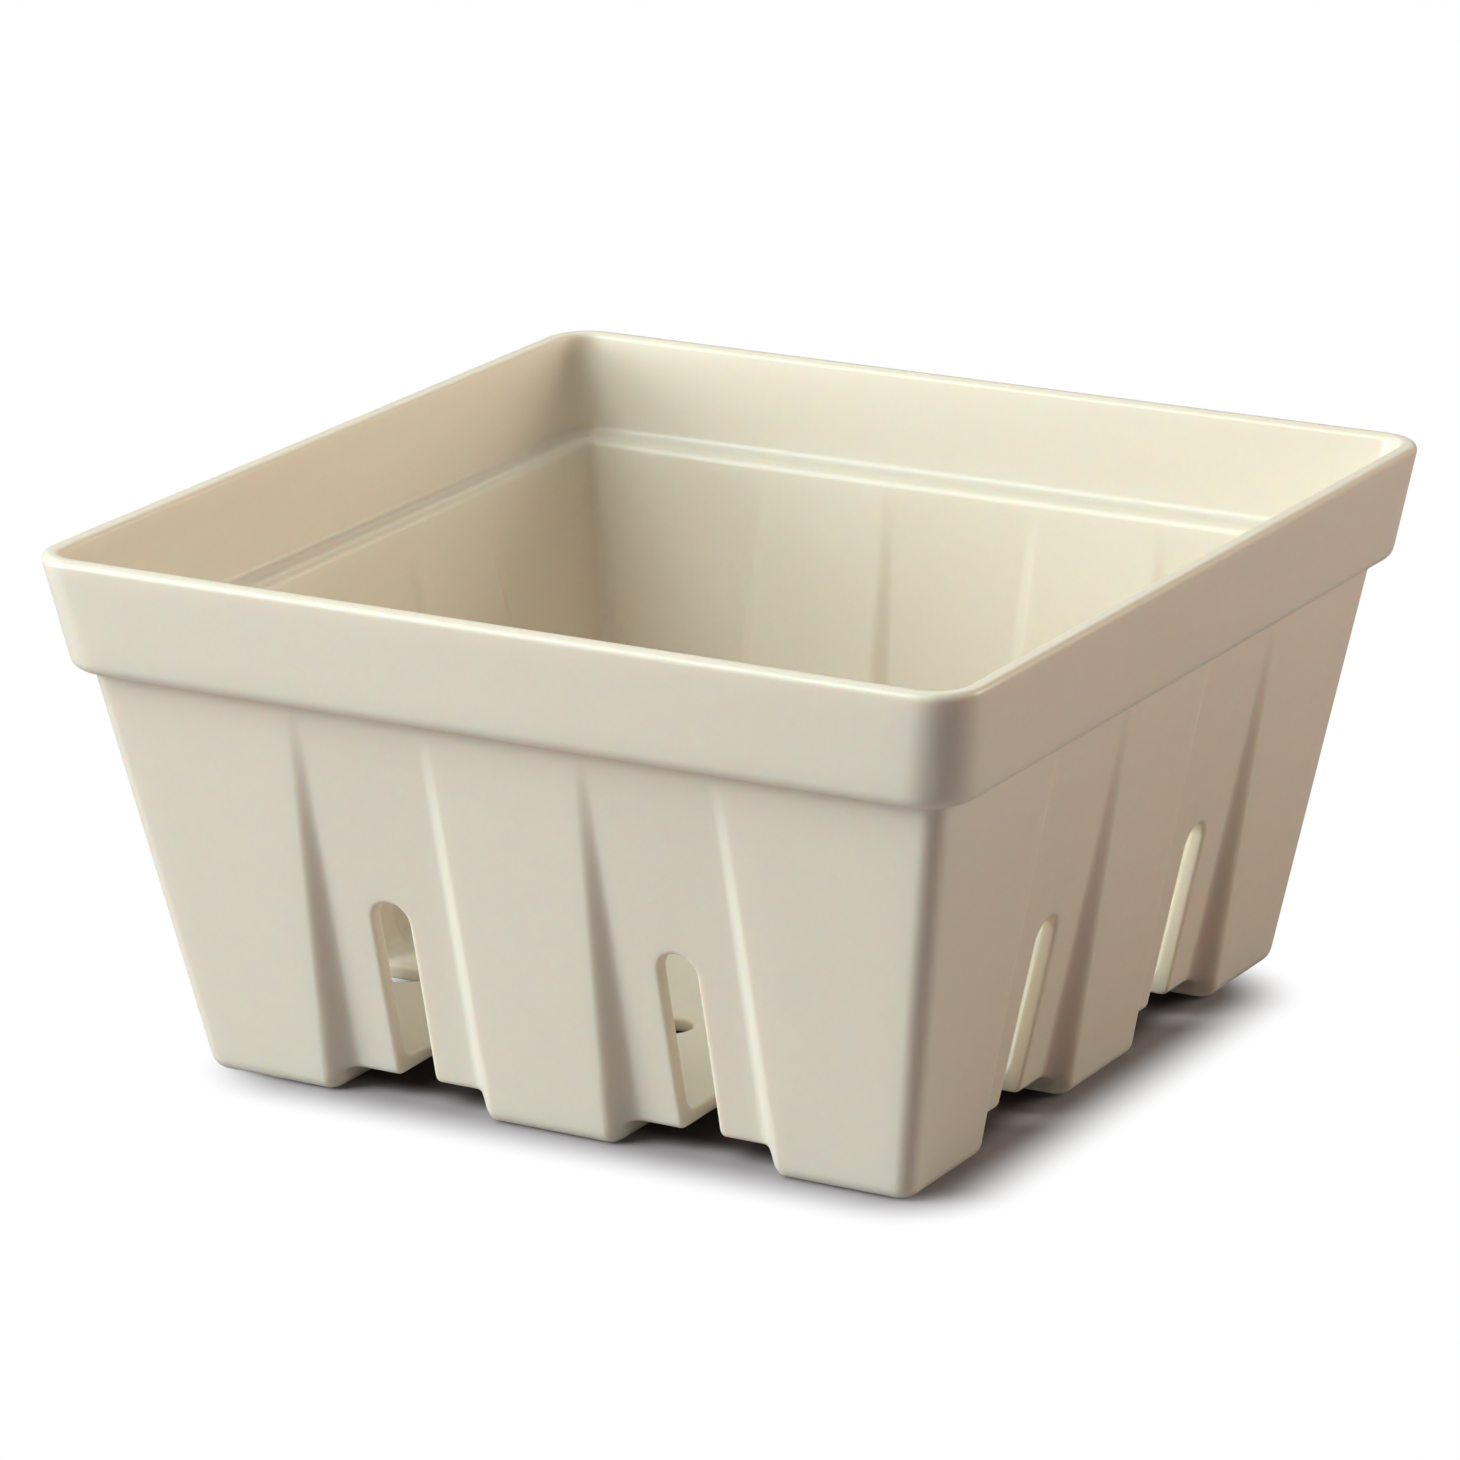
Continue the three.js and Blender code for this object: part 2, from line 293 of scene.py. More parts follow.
def left_columns(z, inside):
    """Columns from the middle of a wall to the slot's square, at heights z (a column vector)."""
    side, width = FLUTE_MIDDLE - flute_half(z, inside), flute_side(z)
    middle = blend(0, side - width / 2, np.linspace(0, 1, MIDDLE_STEPS + 1))
    slanted = side + width * (side_share - 0.5)
    flat = blend(side + width / 2, FLUTE_MIDDLE - SLOT_PATCH, np.linspace(0, 1, FLAT_STEPS + 1))
    return np.hstack([middle, slanted[:, 1:], flat[:, 1:]])


def right_columns(z, inside, tangent):
    """Columns from the slot's square to the upright corner: the left ones mirrored, then plain wall."""
    mirrored = 2 * FLUTE_MIDDLE - left_columns(z, inside)[:, MIDDLE_STEPS:][:, ::-1]
    plain = blend(mirrored[:, -1:], tangent, np.linspace(0, 1, OUTER_STEPS + 1))
    return np.hstack([mirrored, plain[:, 1:]])


def corner_columns(half, corner):
    """Across and out of the upright corner's arc up to the diagonal, for rows of half widths and radii."""
    return half - corner + corner * np.sin(corner_angles), half - corner + corner * np.cos(corner_angles)


flute_columns = 2 * SIDE_STEPS + 2 * FLAT_STEPS + FAN_STEPS // 2
print("columns in an eighth:", MIDDLE_STEPS + flute_columns + OUTER_STEPS + CORNER_STEPS)

# %% [markdown]
# ## The upper wall, the band, the lip and the shelf
#
# From just above the slots the section is carried right round the basket: up the outer wall, out under
# the band, up the band, over the lip, down inside to the shelf and down the inner wall. Each corner of
# the section becomes an arc tangent to both lines, as the mould was cut.

# %% Section of the upper wall
ROUND_STEPS = 6
LIP_STEPS = 8


def arc(before, tip, after, radius, steps):
    """Arc of a radius tangent to the two lines that meet at tip, as points evenly turned between them."""
    back, on = np.array(before) - tip, np.array(after) - tip
    back, on = back / np.hypot(*back), on / np.hypot(*on)
    half_angle = np.arccos(back @ on) / 2
    centre = tip + (back + on) / np.hypot(*(back + on)) * radius / np.sin(half_angle)
    start = tip + back * radius / np.tan(half_angle) - centre
    end = tip + on * radius / np.tan(half_angle) - centre
    turn = np.pi - 2 * half_angle
    share = np.linspace(0, 1, steps + 1)[:, None]
    return centre + (np.sin((1 - share) * turn) * start + np.sin(share * turn) * end) / np.sin(turn)


def inner_half(z):
    """Half the width between the walls' plain inner faces: the outer half width less the wall."""
    return wall_half(z) - WALL


PATCH_TOP = SLOT_CENTRE + SLOT_PATCH
band_inner = BAND_CORNER - BAND_WALL
section_corners = [
    # half width, height, round, steps, plan corner, inside, rows up to the next corner
    (wall_half(PATCH_TOP), PATCH_TOP, 0, 0, wall_corner(PATCH_TOP), 0, 10),
    (wall_half(BAND_FOOT), BAND_FOOT, BAND_ROOT, ROUND_STEPS, WALL_CORNER_TOP, 0, 2),
    (band_half(BAND_FOOT), BAND_FOOT, BAND_EDGE, ROUND_STEPS, BAND_CORNER, 0, 5),
    (band_half(HEIGHT), HEIGHT, LIP_ROUND, LIP_STEPS, BAND_CORNER, 0, 1),
    (band_half(HEIGHT) - BAND_WALL, HEIGHT, LIP_ROUND, LIP_STEPS, band_inner, 0, 5),
    (band_half(SHELF) - BAND_WALL, SHELF, SHELF_FILLET, ROUND_STEPS, band_inner, 0, 2),
    (inner_half(SHELF), SHELF, SHELF_EDGE, ROUND_STEPS, INNER_CORNER, 1, 10),
    (inner_half(PATCH_TOP), PATCH_TOP, 0, 0, INNER_CORNER, 1, 0),
]


def section_rows(corners):
    """Rows (half width, height, plan corner, inside) of the section: arcs at corners, straight between."""
    rows, rows_between = [], 0
    for i, (half, z, radius, steps, corner, inside, rows_after) in enumerate(corners):
        points = np.array([[half, z]])
        if radius:
            points = arc(corners[i - 1][:2], np.array([half, z]), corners[i + 1][:2], radius, steps)
        plan = np.maximum(0, corner + points[:, 0] - half)
        turned = np.column_stack([points, plan, np.full(len(points), inside)])
        if rows:
            run = np.linspace(0, 1, rows_between + 1)[1:-1, None]
            rows.append(blend(rows[-1][-1], turned[0], run))
        rows.append(turned)
        rows_between = rows_after
    return np.vstack(rows)


def upper_wall():
    """The section carried across an eighth of the basket: each row is a plan outline, sunk at the flute."""
    half, z, corner, inside = (column[:, None] for column in section_rows(section_corners).T)
    left = left_columns(z, inside)
    middle = np.broadcast_to(FLUTE_MIDDLE + fan_columns, (len(z), len(fan_columns)))
    right = right_columns(z, inside, half - corner)
    x = np.hstack([left, middle[:, 1:-1], right])
    corner_x, corner_out = corner_columns(half, corner)
    out = half - sunk(x, z, inside)
    add_grid(np.hstack([x, corner_x[:, 1:]]), np.hstack([out, corner_out[:, 1:]]), z)
    return len(z), x.shape[1] + CORNER_STEPS


print("upper wall, rows and columns:", upper_wall())

# %% [markdown]
# ## The edge under the wall
#
# Below the slots the wall ends in feet and flutes. Seen along the wall, its lower edge runs flat under a
# foot, turns up round the foot's side, turns again into the underside of the floor and runs across the
# flute to the next foot. A rounded edge is carried along that whole path: at each place it turns from the
# direction that faces out of the path to the direction that faces out of the wall, so feet and flutes
# share one unbroken round.

# %% Path of the lower edge
FOOT_SIDE = FLUTE_MIDDLE - FLUTE_WIDTH_FOOT / 2  # across the wall to the middle foot's side
FOOT_FLAT = FOOT_SIDE - FOOT_EDGE - FLAT_MARGIN  # and to the end of its flat underside
LOW_ROW = 6.0  # height by which the columns have left the feet
STRAIGHT_ROW = 12.0  # and by which they follow the flutes
SPREAD = 1.0  # how far the columns over a foot's side draw back from it
SPREAD_COLUMNS = EDGE_STEPS + 4  # how many columns that takes
LOW_STEPS = 4
RISE_STEPS = 5


def foot_side_path():
    """Round, upright and fillet of the middle foot's side: across, height and the way that it faces."""
    turn = np.linspace(0, np.pi / 2, EDGE_STEPS + 1)
    fillet_x, fillet_z = FOOT_SIDE + CHANNEL_FILLET, FOOT_HEIGHT - CHANNEL_FILLET
    upright = (FOOT_EDGE + fillet_z) / 2
    run_out = np.linspace(fillet_x, FOOT_SIDE + FLUTE_SIDE_FOOT / 2 + FLAT_MARGIN, RUN_OUT + 1)[1:]
    level = np.ones(RUN_OUT)
    x = [FOOT_FLAT, *(FOOT_SIDE - FOOT_EDGE * (1 - np.sin(turn))), FOOT_SIDE]
    x += [*(fillet_x - CHANNEL_FILLET * np.cos(turn)), *run_out]
    z = [0, *(FOOT_EDGE * (1 - np.cos(turn))), upright]
    z += [*(fillet_z + CHANNEL_FILLET * np.sin(turn)), *(FOOT_HEIGHT * level)]
    facing_x = [0, *np.sin(turn), 1, *np.cos(turn), *(0 * level)]
    facing_z = [-1, *-np.cos(turn), 0, *-np.sin(turn), *-level]
    return np.array([x, z, facing_x, facing_z])


def lower_path():
    """Lower edge from the wall's middle to the slot's square, over foot and flute, with its radius."""
    side = foot_side_path()
    share = np.linspace(0, 1, MIDDLE_STEPS + 1)[:-1]
    foot = np.array([blend(0, FOOT_FLAT, share), 0 * share, 0 * share, 0 * share - 1])
    run = np.linspace(0, 1, FLAT_STEPS + 1)[1:]
    flute_x = blend(side[0, -1], FLUTE_MIDDLE - SLOT_PATCH, run)
    flute = np.array([flute_x, 0 * run + FOOT_HEIGHT, 0 * run, 0 * run - 1])
    path = np.hstack([foot, side, flute])
    radius = blend(FOOT_FILLET, FLUTE_ROUND, ease(path[1] / FOOT_HEIGHT))
    return path, radius


print("points along the lower edge, from the wall's middle to the slot:", lower_path()[0].shape[1])

# %% Outer wall from its middle to the slot
round_turn = np.linspace(0, np.pi / 2, ROUND_STEPS + 1)[:, None]
low_share = np.linspace(0, 1, LOW_STEPS + 1)[1:, None]
rise_z = np.linspace(STRAIGHT_ROW, SLOT_CENTRE, RISE_STEPS + 1)[1:, None]
straight_z = blend(LOW_ROW, STRAIGHT_ROW, low_share)
upper_z = np.vstack([rise_z, SLOT_CENTRE + fan_rows[1:, None]])
SLOT_ROWS = 1 + len(round_turn) + 2 * LOW_STEPS + RISE_STEPS  # rows from the floor to the slot's centre


def edge_rows(x, z, facing_x, facing_z, radius):
    """Flat strip and round along the lower edge: across, height and distance in from the wall's face."""
    step = radius * (1 - np.cos(round_turn))
    rows_x = np.vstack([x, x - facing_x * step])
    rows_z = np.vstack([z, z - facing_z * step])
    return rows_x, rows_z, np.vstack([radius + FLAT_MARGIN, radius * (1 - np.sin(round_turn))])


def lower_left():
    """Outer wall from its middle to the slot's square: the rounded edge, then rows easing into the flute."""
    (x, z, facing_x, facing_z), radius = lower_path()
    edge_x, edge_z, edge_in = edge_rows(x, z, facing_x, facing_z, radius)
    drawn = np.zeros(len(x))
    over_side = slice(MIDDLE_STEPS, MIDDLE_STEPS + SPREAD_COLUMNS)
    drawn[over_side] = np.linspace(SPREAD, 0, SPREAD_COLUMNS)
    drawn[:MIDDLE_STEPS] = SPREAD * x[:MIDDLE_STEPS] / FOOT_FLAT
    low_x = edge_x[-1] - drawn
    rows_x = [edge_x, blend(edge_x[-1], low_x, low_share)]
    rows_x += [blend(low_x, left_columns(straight_z, 0), ease(low_share)), left_columns(upper_z, 0)]
    low_z = blend(edge_z[-1], LOW_ROW, low_share)
    level_z = np.broadcast_to(np.vstack([straight_z, upper_z]), (LOW_STEPS + len(upper_z), len(x)))
    rows_z = np.vstack([edge_z, low_z, level_z])
    inward = np.zeros_like(rows_z)
    inward[: len(edge_in)] = edge_in
    return np.vstack(rows_x), rows_z, inward


outer_x, outer_z, outer_in = lower_left()
add_grid(outer_x, wall_out(outer_x, outer_z, 0) - outer_in, outer_z)
print("outer wall below the slot's top, rows and columns:", outer_x.shape)

# %% [markdown]
# ## The outer wall's corner
#
# On the other side of the slot the wall is the same, mirrored about the slot, as far as the end of the
# flute. From there plain wall runs to the upright corner, and an arc carries it as far as the diagonal.


# %% Outer wall from the slot to the corner
def lower_right():
    """Mirror of the left columns, then plain wall and the corner's arc, each row with its own rounds."""
    x = 2 * FLUTE_MIDDLE - outer_x[:, MIDDLE_STEPS:][:, ::-1]
    z, inward = outer_z[:, MIDDLE_STEPS:][:, ::-1], outer_in[:, MIDDLE_STEPS:][:, ::-1]
    out = wall_out(x, z, 0) - inward
    share = np.linspace(0, 1, OUTER_STEPS + 1)[1:]
    nothing = np.zeros(OUTER_STEPS)
    _, edge_z, edge_in = edge_rows(nothing, nothing, nothing, nothing - 1, nothing + FOOT_FILLET)
    low_z = blend(edge_z[-1], LOW_ROW, low_share)
    level_z = np.broadcast_to(np.vstack([straight_z, upper_z]), (LOW_STEPS + len(upper_z), OUTER_STEPS))
    plain_z = np.vstack([edge_z, low_z, level_z])
    plain_in = np.zeros_like(plain_z)
    plain_in[: len(edge_in)] = edge_in
    half = wall_half(plain_z[:, -1:]) - plain_in[:, -1:]
    corner = np.maximum(0, wall_corner(plain_z[:, -1:]) - plain_in[:, -1:])
    plain_x = blend(x[:, -1:], half - corner, share)
    corner_x, corner_out = corner_columns(half, corner)
    corner_z = np.broadcast_to(plain_z[:, -1:], (len(z), CORNER_STEPS))
    add_grid(
        np.hstack([x, plain_x, corner_x[:, 1:]]),
        np.hstack([out, wall_out(plain_x, plain_z, 0) - plain_in, corner_out[:, 1:]]),
        np.hstack([z, plain_z, corner_z]),
    )
    return x.shape[1] + OUTER_STEPS + CORNER_STEPS


print("columns from the slot to the corner:", lower_right())

# %% [markdown]
# ## The inner wall and the edge of the floor
#
# Inside, the wall comes down with its ridges and turns into the floor through a fillet, which keeps
# berries out of a sharp corner and lets the basket rinse clean. It has as many rows as the outer wall,
# because the slot joins the two row by row.

# %% Inner wall
floor_corner = np.array([inner_half(FLOOR_TOP), FLOOR_TOP])
shelf_corner = (inner_half(SHELF), SHELF)
floor_arc = arc((0, FLOOR_TOP), floor_corner, shelf_corner, FLOOR_FILLET, ROUND_STEPS)
outer_rise = outer_z[len(round_turn) + 1 : SLOT_ROWS, -1:]
rise_share = (outer_rise - outer_z[len(round_turn), -1]) / (SLOT_CENTRE - outer_z[len(round_turn), -1])
inner_rise = blend(floor_arc[-1, 1], SLOT_CENTRE, rise_share)
inner_z = np.vstack([[[FLOOR_TOP]], floor_arc[:, 1:], inner_rise, SLOT_CENTRE + fan_rows[1:, None]])
inner_out = inner_half(inner_z)
inner_out[1 : len(floor_arc) + 1] = floor_arc[:, :1]
inner_out[0] = floor_arc[0, 0] - FLAT_MARGIN


def inner_wall():
    """Inner face below the slot's top, on both sides of the slot's square, and the corner's arc."""
    corner = np.maximum(0, INNER_CORNER + np.minimum(0, inner_out - inner_half(inner_z)))
    left = left_columns(inner_z, 1)
    add_grid(left, inner_out - sunk(left, inner_z, 1), inner_z)
    right = right_columns(inner_z, 1, inner_out - corner)
    corner_x, corner_out = corner_columns(inner_out, corner)
    x = np.hstack([right, corner_x[:, 1:]])
    add_grid(x, np.hstack([inner_out - sunk(right, inner_z, 1), corner_out[:, 1:]]), inner_z)
    return left.shape


print("inner wall, rows and columns left of the slot:", inner_wall())

# %% [markdown]
# ## The slots
#
# A slot is a straight saw-cut shape with a round end, and it bends with the wall: down the wall, round
# the lower edge and on into the floor. Beside the slot run two narrow strips of wall, over its end a fan
# of rings, and on the floor a ring of flat. Its rim joins the outer skin to the inner one: for each point
# of the outline the wall is crossed in a straight line, with a quarter round at both ends.

# %% Strips, fans and floor rings beside the slot
FLOOR_ROWS = 4
# distance out to the centre of the slot's round end in the floor
SLOT_END = wall_out(FLUTE_MIDDLE, FLOOR_TOP, 1) - SLOT_FLOOR_RUN + SLOT_HALF
outer_skin = (wall_out(FLUTE_MIDDLE, outer_z[:, -1], 0) - outer_in[:, -1], outer_z[:, -1])
inner_skin = (inner_out[:, 0] - flute_depth(inner_z[:, 0]), inner_z[:, 0])
# out and height of the two skins beside the slot, from the floor to the slot's centre
slot_sections = [(out[:SLOT_ROWS], z[:SLOT_ROWS]) for out, z in (outer_skin, inner_skin)]
end_angles = np.linspace(0, np.pi, FAN_STEPS // 2 + 1)


def slot_sides(inside):
    """Strips of wall on both sides of the slot, and the fan from its round end to the square round it."""
    out, z = (values[:, None] for values in slot_sections[inside])
    add_grid(FLUTE_MIDDLE - ring_offsets, out, z)
    add_grid(FLUTE_MIDDLE + ring_offsets, out, z)
    share = (ring_offsets - SLOT_EDGE) / (SLOT_PATCH - SLOT_EDGE)
    x = FLUTE_MIDDLE + blend(SLOT_EDGE * np.cos(fan_angles[:, None]), fan_x[:, None], share)
    z = SLOT_CENTRE + blend(SLOT_EDGE * np.sin(fan_angles[:, None]), fan_rise[:, None], share)
    add_grid(x, wall_out(x, z, inside), z)


def floor_outline(offset, inside):
    """The slot's outline on the floor at an offset from its middle line: in, round its end and out again."""
    run = blend(slot_sections[inside][0][0], SLOT_END, np.linspace(0, 1, FLOOR_ROWS + 1))
    x = np.hstack([0 * run + offset, offset * np.cos(end_angles)[1:-1], 0 * run - offset])
    out = np.hstack([run, SLOT_END - offset * np.sin(end_angles)[1:-1], run[::-1]])
    return FLUTE_MIDDLE + x, out, 0 * out + slot_sections[inside][1][0]


def slot_floor_ring(inside):
    """Narrow ring of flat floor round the part of the slot that lies in the floor."""
    rings = [floor_outline(offset, inside) for offset in ring_offsets[:2]]
    add_grid(*(np.stack(values) for values in zip(*rings)))


for inside in (0, 1):
    slot_sides(inside)
    slot_floor_ring(inside)
print("slot ends", round(float(SLOT_END - SLOT_HALF), 2), "mm from the basket's axis")

# %% Rim of the slot
RIM_STEPS = 4


def slot_outline(offset, inside):
    """Closed outline of the slot on one skin: over its top, down, round its end in the floor and up."""
    out, z = slot_sections[inside]
    top_x, top_z = offset * np.cos(fan_angles), SLOT_CENTRE + offset * np.sin(fan_angles)
    top = [FLUTE_MIDDLE + top_x, wall_out(FLUTE_MIDDLE, top_z, inside), top_z]
    floor = [values[::-1] for values in floor_outline(offset, inside)]
    left = [0 * z[:0:-1] + FLUTE_MIDDLE - offset, out[:0:-1], z[:0:-1]]
    right = [0 * z[1:] + FLUTE_MIDDLE + offset, out[1:], z[1:]]
    return np.array([np.hstack(parts) for parts in zip(top, [v[1:] for v in left], floor, right)])


def slot_rim():
    """Rim from the outer skin to the inner: a quarter round, the cut face and another quarter round."""
    thickness = np.linalg.norm(slot_outline(SLOT_HALF, 1) - slot_outline(SLOT_HALF, 0), axis=0)
    rows = []
    for turn in np.linspace(0, np.pi / 2, RIM_STEPS + 1):
        offset = SLOT_HALF + SLOT_ROUND * (1 - np.sin(turn))
        depth = SLOT_ROUND * (1 - np.cos(turn)) / thickness
        outer, inner = slot_outline(offset, 0), slot_outline(offset, 1)
        rows.insert(len(rows) // 2, blend(outer, inner, depth))
        rows.insert(len(rows) // 2 + 1, blend(inner, outer, depth))
    add_grid(*np.stack(rows, axis=1))
    return len(rows), rows[0].shape[1]


print("slot rim, rows and points round it:", slot_rim())

# %% [markdown]
# ## The drain holes
#
# Four round holes drain the middle of the floor. Each is a section carried round a circle: flat floor, a
# quarter round, the bore, a quarter round and the flat underside.

# %% Drain holes
HOLE_STEPS = 48


def drain_hole():
    """Section of the hole's rim, as radius and height, carried round the hole's axis."""
    turn = np.linspace(0, np.pi / 2, RIM_STEPS + 1)
    edge = DRAIN_HOLE / 2 + SLOT_ROUND * (1 - np.sin(turn))
    depth = SLOT_ROUND * (1 - np.cos(turn))
    margin = DRAIN_HOLE / 2 + SLOT_ROUND + FLAT_MARGIN
    radius = np.hstack([margin, edge, edge[::-1], margin])[:, None]
    z = np.hstack([FLOOR_TOP, FLOOR_TOP - depth, (FOOT_HEIGHT + depth)[::-1], FOOT_HEIGHT])[:, None]
    around = np.linspace(0, 2 * np.pi, HOLE_STEPS + 1)
    add_grid(radius * np.cos(around), DRAIN_RADIUS + radius * np.sin(around), z, mirrored=False)
    return radius.size


print("drain hole rows:", drain_hole())

# %% [markdown]
# ## The feet
#
# Nine low feet stand between the channels under the floor. The ones at the wall carry its edge inwards:
# the same round, upright and fillet run in from the wall, turn round the foot's inner corners and meet.
# The one in the middle turns round all four. Each foot is hollow, as a thick lump of plastic would sink
# as it cooled.

# %% Sides of the feet
STRAIGHT_STEPS = 3  # steps along a foot's straight side
foot_x, foot_z, _, _ = foot_side_path()
foot_offset = foot_x - FOOT_FLAT  # how far each line of the foot's side lies out from its flat underside
wall_end = (wall_out(outer_x[0], outer_z[0], 0) - outer_in[0])[MIDDLE_STEPS : MIDDLE_STEPS + SIDE_STEPS + 1]
INNER_TURN = 2 * FLUTE_MIDDLE - FOOT_FLAT  # distance out to the centres of the feet's inner corners
half_turn = np.linspace(0, np.pi / 4, EDGE_STEPS + 1)[:, None]
full_turn = np.linspace(0, np.pi / 2, 2 * EDGE_STEPS + 1)[:, None]
along = np.linspace(0, 1, STRAIGHT_STEPS + 1)[:, None]


def middle_foot():
    """Half of a foot at a wall's middle: in along its side, round its corner and along its inner side."""
    side = blend(wall_end, INNER_TURN, along)
    corner_x = FOOT_FLAT + foot_offset * np.cos(full_turn)
    corner_out = INNER_TURN - foot_offset * np.sin(full_turn)
    x = np.vstack([0 * side + foot_x, corner_x, FOOT_FLAT * (1 - along) + 0 * foot_x])
    add_grid(x, np.vstack([side, corner_out, INNER_TURN - foot_offset + 0 * along]), foot_z)


def corner_foot():
    """Half of a foot at a corner: in along its side and round its inner corner as far as the diagonal."""
    side = blend(wall_end, INNER_TURN, along)
    x = np.vstack([0 * side + INNER_TURN - foot_offset, INNER_TURN - foot_offset * np.cos(half_turn)])
    add_grid(x, np.vstack([side, INNER_TURN - foot_offset * np.sin(half_turn)]), foot_z)


def centre_foot():
    """An eighth of the middle foot: along its side and round its corner as far as the diagonal."""
    x = np.vstack([FOOT_FLAT * along + 0 * foot_x, FOOT_FLAT + foot_offset * np.sin(half_turn)])
    out = np.vstack([FOOT_FLAT + foot_offset + 0 * along, FOOT_FLAT + foot_offset * np.cos(half_turn)])
    add_grid(x, out, foot_z)


middle_foot()
corner_foot()
centre_foot()
print("feet stand", FOOT_HEIGHT, "mm under the floor")

# %% Hollows in the feet
CORE_INNER = FOOT_SIDE - FOOT_RIM
CORE_NEAR = 2 * FLUTE_MIDDLE - FOOT_SIDE + FOOT_RIM
CORE_FAR = wall_half(0) - FOOT_RIM - FOOT_FILLET / 2


def foot_core(low_x, high_x, low_out, high_out, turns):
    """A rounded rectangle carried up the hollow: out of the flat, round, wall, fillet, closed ceiling."""
    turn = np.linspace(0, np.pi / 2, RIM_STEPS + 1)
    grown = np.hstack([CORE_ROUND * (1 - np.sin(turn)), -CORE_ROUND * (1 - np.cos(turn))])
    grown = np.hstack([CORE_ROUND + FLAT_MARGIN, grown, -CORE_ROUND - FLAT_MARGIN])[:, None]
    rise = np.hstack([CORE_ROUND * (1 - np.cos(turn)), FOOT_HEIGHT - CORE_ROUND * (1 - np.sin(turn))])
    z = np.hstack([0, rise, FOOT_HEIGHT, FOOT_HEIGHT])[:, None]
    quarter = np.linspace(0, np.pi / 2, EDGE_STEPS + 1)
    angles = np.hstack([quarter + corner * np.pi / 2 for corner in range(4)] + [0])
    right = np.repeat([1, 0, 0, 1, 1], [EDGE_STEPS + 1] * 4 + [1])
    back = np.repeat([1, 1, 0, 0, 1], [EDGE_STEPS + 1] * 4 + [1])
    centre_x = np.where(right, high_x - CORE_CORNER, low_x + CORE_CORNER)
    centre_out = np.where(back, high_out - CORE_CORNER, low_out + CORE_CORNER)
    x = centre_x + (CORE_CORNER + grown) * np.cos(angles)
    out = centre_out + (CORE_CORNER + grown) * np.sin(angles)
    middle = np.ones((1, len(angles)))
    x = np.vstack([x, middle * (low_x + high_x) / 2])
    add_grid(x, np.vstack([out, middle * (low_out + high_out) / 2]), z, mirrored=False, turns=turns)


foot_core(-CORE_INNER, CORE_INNER, -CORE_INNER, CORE_INNER, turns=1)
foot_core(-CORE_INNER, CORE_INNER, CORE_NEAR, CORE_FAR, turns=4)
foot_core(CORE_NEAR, CORE_FAR, CORE_NEAR, CORE_FAR, turns=4)
print("grids so far:", len(grids))

# %% [markdown]
# ## One closed skin
#
# The grids' points and faces go into one mesh. Points that fall on each other are merged, and the flats
# that are left open, which are the floor, its underside and the soles of the feet, are filled between
# their edges. A flat needs no grid of its own: each is already framed by a narrow strip, so its shading
# stays level. Then the faces are turned to point outwards, and the mesh is tested: a moulding is one
# closed solid, with no open edge.

# %% Build the mesh
MERGE = 1e-3 * MM  # points closer than this are one


def grid_faces(shape, first):
    """Corner numbers of a grid's four-sided faces, from its shape and the number of its first point."""
    index = first + np.arange(shape[0] * shape[1]).reshape(shape[:2])
    corners = [index[:-1, :-1], index[:-1, 1:], index[1:, 1:], index[1:, :-1]]
    return np.stack(corners, axis=-1).reshape(-1, 4)


def skin_mesh(name):
    """All grids as one mesh in metres, merged, filled and turned outwards."""
    starts = np.cumsum([0] + [grid.shape[0] * grid.shape[1] for grid in grids])
    points = np.concatenate([grid.reshape(-1, 3) for grid in grids]) * MM
    faces = np.concatenate([grid_faces(grid.shape, start) for grid, start in zip(grids, starts)])
    mesh = bpy.data.meshes.new(name)
    mesh.from_pydata(points, [], faces.tolist())
    skin = bmesh.new()
    skin.from_mesh(mesh)
    bmesh.ops.remove_doubles(skin, verts=skin.verts, dist=MERGE)
    bmesh.ops.dissolve_degenerate(skin, edges=skin.edges, dist=MERGE)
    for level in (0, FOOT_HEIGHT, FLOOR_TOP):
        rim = [edge for edge in skin.edges if edge.is_boundary]
        rim = [edge for edge in rim if all(abs(v.co.z - level * MM) < MERGE for v in edge.verts)]
        bmesh.ops.triangle_fill(skin, edges=rim, use_beauty=True)
    bmesh.ops.recalc_face_normals(skin, faces=skin.faces)
    open_edges = sum(not edge.is_manifold for edge in skin.edges)
    volume = round(skin.calc_volume() / (10 * MM) ** 3, 2)
    print("open edges:", open_edges, "faces:", len(skin.faces), "volume:", volume, "cm3")
    skin.to_mesh(mesh)
    skin.free()
    mesh.shade_smooth()
    return mesh


basket = bpy.data.objects.new("moulded_basket", skin_mesh("moulded_basket"))
bpy.context.scene.collection.objects.link(basket)
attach(basket, "root")
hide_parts("colander_basket")

# %% [markdown]
# ## Cream moulded plastic
#
# The basket is injection-moulded in a tough, slightly cloudy plastic, coloured cream in the pellet. The
# mould was polished but not to a mirror, so the skin is satin: lamps show as soft bright bands, sharper
# along the small rounds. Light that enters comes out again a millimetre or two away, warmer, which fills
# the shaded side of a thin wall with a peach glow. A plain colour would look like chalk. So the colour
# drifts very slightly, as the melt flows and cools, the gloss varies a little, and a faint ripple from
# the mould breaks the reflections.

